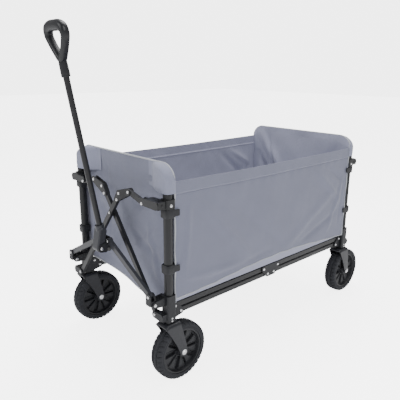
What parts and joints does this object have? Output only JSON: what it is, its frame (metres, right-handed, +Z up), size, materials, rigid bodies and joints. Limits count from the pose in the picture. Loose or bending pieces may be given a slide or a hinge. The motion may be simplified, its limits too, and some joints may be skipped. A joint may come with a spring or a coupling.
{
  "type": "folding wagon with pull handle",
  "caption": "Folding fabric-sided wagon on a hinged steel frame, with swivelling front wheels and a tilting pull handle with a D-shaped grip.",
  "frame": {"origin": "on the ground, under the middle of the overall box", "axes": "+X towards the rear, away from the handle; +Y towards the wagon's left; +Z up"},
  "size_m": [1.131, 0.498, 0.9574],
  "materials": {
    "liner_fabric": "woven polyester, matt",
    "floor_board": "woven polyester over board",
    "tread_rubber": "moulded foam rubber",
    "wheel_plastic": "moulded",
    "zinc_fastener": "zinc plated",
    "grip_plastic": "fine grained",
    "frame_steel": "satin powder coat",
    "fork_steel": "satin powder coat",
    "bracket_steel": "satin powder coat"
  },
  "bodies": {
    "front_right_frame": {"front_right_outer_post": "frame_steel", "front_right_lower_bracket": "bracket_steel", "front_panel": "liner_fabric", "rear_panel": "liner_fabric", "right_side_panel": "liner_fabric", "left_side_panel": "liner_fabric", "floor_mat": "floor_board"},
    "front_left_frame": {"front_left_outer_post": "frame_steel", "front_left_lower_bracket": "bracket_steel"},
    "rear_right_frame": {"rear_right_outer_post": "frame_steel", "rear_right_lower_bracket": "bracket_steel", "rear_right_fork": "fork_steel", "rear_right_axle": "zinc_fastener"},
    "rear_left_frame": {"rear_left_outer_post": "frame_steel", "rear_left_lower_bracket": "bracket_steel", "rear_left_fork": "fork_steel", "rear_left_axle": "zinc_fastener"},
    "front_right_inner_post": {"front_right_inner_post": "frame_steel"},
    "front_right_upper_arm": {"front_right_upper_arm": "frame_steel"},
    "front_right_wheel": {"front_right_tyre": "tread_rubber", "front_right_wheel_rim": "wheel_plastic"},
    "front_right_caster": {"front_right_fork": "fork_steel", "front_right_axle": "zinc_fastener"},
    "front_left_inner_post": {"front_left_inner_post": "frame_steel"},
    "front_left_upper_arm": {"front_left_upper_arm": "frame_steel"},
    "front_left_wheel": {"front_left_tyre": "tread_rubber", "front_left_wheel_rim": "wheel_plastic"},
    "front_left_caster": {"front_left_fork": "fork_steel", "front_left_axle": "zinc_fastener"},
    "rear_right_inner_post": {"rear_right_inner_post": "frame_steel"},
    "rear_right_upper_arm": {"rear_right_upper_arm": "frame_steel"},
    "rear_right_wheel": {"rear_right_tyre": "tread_rubber", "rear_right_wheel_rim": "wheel_plastic"},
    "rear_left_inner_post": {"rear_left_inner_post": "frame_steel"},
    "rear_left_upper_arm": {"rear_left_upper_arm": "frame_steel"},
    "rear_left_wheel": {"rear_left_tyre": "tread_rubber", "rear_left_wheel_rim": "wheel_plastic"},
    "front_cross_bar_right_foot": {"front_cross_bar_right_foot": "frame_steel"},
    "front_cross_bar_left_foot": {"front_cross_bar_left_foot": "frame_steel"},
    "rear_cross_bar_right_foot": {"rear_cross_bar_right_foot": "frame_steel"},
    "rear_cross_bar_left_foot": {"rear_cross_bar_left_foot": "frame_steel"},
    "right_front_upper_rail": {"right_front_upper_rail": "frame_steel"},
    "right_front_lower_rail": {"right_front_lower_rail": "frame_steel"},
    "right_rear_upper_rail": {"right_rear_upper_rail": "frame_steel"},
    "right_rear_lower_rail": {"right_rear_lower_rail": "frame_steel"},
    "right_mid_plate": {"right_mid_plate": "bracket_steel"},
    "right_yoke_joint": {"right_yoke_joint": "bracket_steel"},
    "right_yoke_leg": {"right_yoke_leg": "frame_steel"},
    "left_front_upper_rail": {"left_front_upper_rail": "frame_steel"},
    "left_front_lower_rail": {"left_front_lower_rail": "frame_steel"},
    "left_rear_upper_rail": {"left_rear_upper_rail": "frame_steel"},
    "left_rear_lower_rail": {"left_rear_lower_rail": "frame_steel"},
    "left_mid_plate": {"left_mid_plate": "bracket_steel"},
    "left_yoke_joint": {"left_yoke_joint": "bracket_steel"},
    "left_yoke_leg": {"left_yoke_leg": "frame_steel"},
    "handle_hub": {"handle_hub": "bracket_steel"},
    "handle": {"handle_base": "grip_plastic", "handle_tube": "frame_steel", "handle_grip": "grip_plastic"}
  },
  "joints": [
    {"name": "fold", "type": "hinge", "parent": "front_right_frame", "child": "right_front_upper_rail", "pos_m": [-0.36751, -0.214, 0.222], "axis": [0, -1, 0], "range_deg": [0, 77], "deforming": ["right_side_panel", "left_side_panel", "front_panel", "rear_panel", "floor_mat"]},
    {"name": "right_front_lower_rail_turn", "type": "hinge", "parent": "front_right_frame", "child": "right_front_lower_rail", "pos_m": [-0.34751, -0.214, 0.202], "axis": [0, -1, 0], "range_deg": [0, 77.15]},
    {"name": "right_mid_plate_turn", "type": "hinge", "parent": "right_front_upper_rail", "child": "right_mid_plate", "pos_m": [0.00249, -0.214, 0.222], "axis": [0, 1, 0], "range_deg": [0, 77.15]},
    {"name": "right_rear_upper_rail_turn", "type": "hinge", "parent": "right_mid_plate", "child": "right_rear_upper_rail", "pos_m": [0.07249, -0.214, 0.222], "axis": [0, 1, 0], "range_deg": [0, 77.15]},
    {"name": "right_rear_lower_rail_turn", "type": "hinge", "parent": "right_mid_plate", "child": "right_rear_lower_rail", "pos_m": [0.05249, -0.214, 0.202], "axis": [0, 1, 0], "range_deg": [0, 77.15]},
    {"name": "rear_right_frame_turn", "type": "hinge", "parent": "right_rear_upper_rail", "child": "rear_right_frame", "pos_m": [0.44249, -0.214, 0.222], "axis": [0, -1, 0], "range_deg": [0, 77.15]},
    {"name": "left_front_upper_rail_turn", "type": "hinge", "parent": "front_left_frame", "child": "left_front_upper_rail", "pos_m": [-0.36751, 0.214, 0.222], "axis": [0, -1, 0], "range_deg": [0, 77.15]},
    {"name": "left_front_lower_rail_turn", "type": "hinge", "parent": "front_left_frame", "child": "left_front_lower_rail", "pos_m": [-0.34751, 0.214, 0.202], "axis": [0, -1, 0], "range_deg": [0, 77.15]},
    {"name": "left_mid_plate_turn", "type": "hinge", "parent": "left_front_upper_rail", "child": "left_mid_plate", "pos_m": [0.00249, 0.214, 0.222], "axis": [0, 1, 0], "range_deg": [0, 77.15]},
    {"name": "left_rear_upper_rail_turn", "type": "hinge", "parent": "left_mid_plate", "child": "left_rear_upper_rail", "pos_m": [0.07249, 0.214, 0.222], "axis": [0, 1, 0], "range_deg": [0, 77.15]},
    {"name": "left_rear_lower_rail_turn", "type": "hinge", "parent": "left_mid_plate", "child": "left_rear_lower_rail", "pos_m": [0.05249, 0.214, 0.202], "axis": [0, 1, 0], "range_deg": [0, 77.15]},
    {"name": "rear_left_frame_turn", "type": "hinge", "parent": "left_rear_upper_rail", "child": "rear_left_frame", "pos_m": [0.44249, 0.214, 0.222], "axis": [0, -1, 0], "range_deg": [0, 77.15]},
    {"name": "front_cross_bar_turn", "type": "hinge", "parent": "front_right_frame", "child": "front_cross_bar_right_foot", "pos_m": [-0.40901, -0.193, 0.202], "axis": [1, 0, 0], "range_deg": [0, 24.16]},
    {"name": "front_cross_bar_crossing", "type": "hinge", "parent": "front_cross_bar_right_foot", "child": "front_cross_bar_left_foot", "pos_m": [-0.41451, 0, 0.448], "axis": [-1, 0, 0], "range_deg": [0, 48.33]},
    {"name": "front_left_frame_turn", "type": "hinge", "parent": "front_cross_bar_left_foot", "child": "front_left_frame", "pos_m": [-0.42001, 0.193, 0.202], "axis": [1, 0, 0], "range_deg": [0, 24.16]},
    {"name": "rear_right_foot_bar_turn", "type": "hinge", "parent": "rear_right_frame", "child": "rear_cross_bar_right_foot", "pos_m": [0.48399, -0.193, 0.202], "axis": [1, 0, 0], "range_deg": [0, 24.16]},
    {"name": "rear_left_foot_bar_turn", "type": "hinge", "parent": "rear_left_frame", "child": "rear_cross_bar_left_foot", "pos_m": [0.49499, 0.193, 0.202], "axis": [-1, 0, 0], "range_deg": [0, 24.16]},
    {"name": "front_right_post_slide", "type": "slide", "parent": "front_right_frame", "child": "front_right_inner_post", "axis": [0, 0, 1], "range_m": [0, 0.04279]},
    {"name": "front_right_arm_turn", "type": "hinge", "parent": "front_right_inner_post", "child": "front_right_upper_arm", "pos_m": [-0.42001, -0.162, 0.5104], "axis": [1, 0, 0], "range_deg": [0, 85.47]},
    {"name": "front_left_post_slide", "type": "slide", "parent": "front_left_frame", "child": "front_left_inner_post", "axis": [0, 0, 1], "range_m": [0, 0.04279]},
    {"name": "front_left_arm_turn", "type": "hinge", "parent": "front_left_inner_post", "child": "front_left_upper_arm", "pos_m": [-0.40901, 0.162, 0.5104], "axis": [-1, 0, 0], "range_deg": [0, 85.47]},
    {"name": "rear_right_post_slide", "type": "slide", "parent": "rear_right_frame", "child": "rear_right_inner_post", "axis": [0, 0, 1], "range_m": [0, 0.04279]},
    {"name": "rear_right_arm_turn", "type": "hinge", "parent": "rear_right_inner_post", "child": "rear_right_upper_arm", "pos_m": [0.49499, -0.162, 0.5104], "axis": [1, 0, 0], "range_deg": [0, 85.47]},
    {"name": "rear_left_post_slide", "type": "slide", "parent": "rear_left_frame", "child": "rear_left_inner_post", "axis": [0, 0, 1], "range_m": [0, 0.04279]},
    {"name": "rear_left_arm_turn", "type": "hinge", "parent": "rear_left_inner_post", "child": "rear_left_upper_arm", "pos_m": [0.48399, 0.162, 0.5104], "axis": [-1, 0, 0], "range_deg": [0, 85.47]},
    {"name": "yoke_tilt", "type": "hinge", "parent": "front_right_frame", "child": "right_yoke_joint", "pos_m": [-0.43551, -0.21, 0.247], "axis": [0, -1, 0], "range_deg": [0, 45]},
    {"name": "right_yoke_leg_turn", "type": "hinge", "parent": "right_yoke_joint", "child": "right_yoke_leg", "pos_m": [-0.44051, -0.21, 0.27], "axis": [1, 0, 0], "range_deg": [0, 42.02]},
    {"name": "left_yoke_tilt", "type": "hinge", "parent": "front_left_frame", "child": "left_yoke_joint", "pos_m": [-0.43551, 0.21, 0.247], "axis": [0, -1, 0], "range_deg": [0, 45.09]},
    {"name": "left_yoke_leg_turn", "type": "hinge", "parent": "left_yoke_joint", "child": "left_yoke_leg", "pos_m": [-0.44051, 0.21, 0.27], "axis": [-1, 0, 0], "range_deg": [0, 42.02]},
    {"name": "handle_hub_turn", "type": "hinge", "parent": "right_yoke_leg", "child": "handle_hub", "pos_m": [-0.44051, -0.018, 0.372], "axis": [-1, 0, 0], "range_deg": [0, 42.02]},
    {"name": "handle_tilt", "type": "hinge", "parent": "handle_hub", "child": "handle", "pos_m": [-0.46651, 0, 0.354], "axis": [0, -1, 0], "range_deg": [0, 80]},
    {"name": "front_right_caster_swivel", "type": "hinge", "parent": "front_right_frame", "child": "front_right_caster", "pos_m": [-0.38751, -0.22, 0.184], "axis": [0, 0, 1], "continuous": true},
    {"name": "front_right_wheel_spin", "type": "hinge", "parent": "front_right_caster", "child": "front_right_wheel", "pos_m": [-0.35451, -0.22, 0.085], "axis": [0, 1, 0], "continuous": true},
    {"name": "front_left_caster_swivel", "type": "hinge", "parent": "front_left_frame", "child": "front_left_caster", "pos_m": [-0.38751, 0.22, 0.184], "axis": [0, 0, 1], "continuous": true},
    {"name": "front_left_wheel_spin", "type": "hinge", "parent": "front_left_caster", "child": "front_left_wheel", "pos_m": [-0.35451, 0.22, 0.085], "axis": [0, 1, 0], "continuous": true},
    {"name": "rear_right_wheel_spin", "type": "hinge", "parent": "rear_right_frame", "child": "rear_right_wheel", "pos_m": [0.48049, -0.22, 0.085], "axis": [0, 1, 0], "continuous": true},
    {"name": "rear_left_wheel_spin", "type": "hinge", "parent": "rear_left_frame", "child": "rear_left_wheel", "pos_m": [0.48049, 0.22, 0.085], "axis": [0, 1, 0], "continuous": true}
  ],
  "couplings": [
    {"joint": "right_front_lower_rail_turn", "follows": "fold", "ratio": 1},
    {"joint": "right_mid_plate_turn", "follows": "fold", "ratio": 1},
    {"joint": "right_rear_upper_rail_turn", "follows": "fold", "ratio": 1},
    {"joint": "right_rear_lower_rail_turn", "follows": "fold", "ratio": 1},
    {"joint": "rear_right_frame_turn", "follows": "fold", "ratio": 1},
    {"joint": "left_front_lower_rail_turn", "follows": "fold", "ratio": 1},
    {"joint": "left_mid_plate_turn", "follows": "fold", "ratio": 1},
    {"joint": "left_rear_upper_rail_turn", "follows": "fold", "ratio": 1},
    {"joint": "left_rear_lower_rail_turn", "follows": "fold", "ratio": 1},
    {"joint": "rear_left_frame_turn", "follows": "fold", "ratio": 1},
    {"joint": "left_front_upper_rail_turn", "follows": "fold", "ratio": 1},
    {"joint": "front_cross_bar_turn", "follows": "fold", "ratio": 0.3132},
    {"joint": "front_cross_bar_crossing", "follows": "fold", "ratio": 0.62639},
    {"joint": "front_left_frame_turn", "follows": "fold", "ratio": 0.3132},
    {"joint": "rear_right_foot_bar_turn", "follows": "fold", "ratio": 0.3132},
    {"joint": "rear_left_foot_bar_turn", "follows": "fold", "ratio": 0.3132},
    {"joint": "front_right_post_slide", "follows": "fold", "m_per_rad": 0.031776},
    {"joint": "front_right_arm_turn", "follows": "fold", "ratio": 1.1078},
    {"joint": "front_left_post_slide", "follows": "fold", "m_per_rad": 0.031776},
    {"joint": "front_left_arm_turn", "follows": "fold", "ratio": 1.1078},
    {"joint": "rear_right_post_slide", "follows": "fold", "m_per_rad": 0.031776},
    {"joint": "rear_right_arm_turn", "follows": "fold", "ratio": 1.1078},
    {"joint": "rear_left_post_slide", "follows": "fold", "m_per_rad": 0.031776},
    {"joint": "rear_left_arm_turn", "follows": "fold", "ratio": 1.1078},
    {"joint": "right_yoke_leg_turn", "follows": "fold", "ratio": 0.54469},
    {"joint": "left_yoke_tilt", "follows": "yoke_tilt", "ratio": 1},
    {"joint": "left_yoke_leg_turn", "follows": "fold", "ratio": 0.54469},
    {"joint": "handle_hub_turn", "follows": "fold", "ratio": 0.54469}
  ]
}
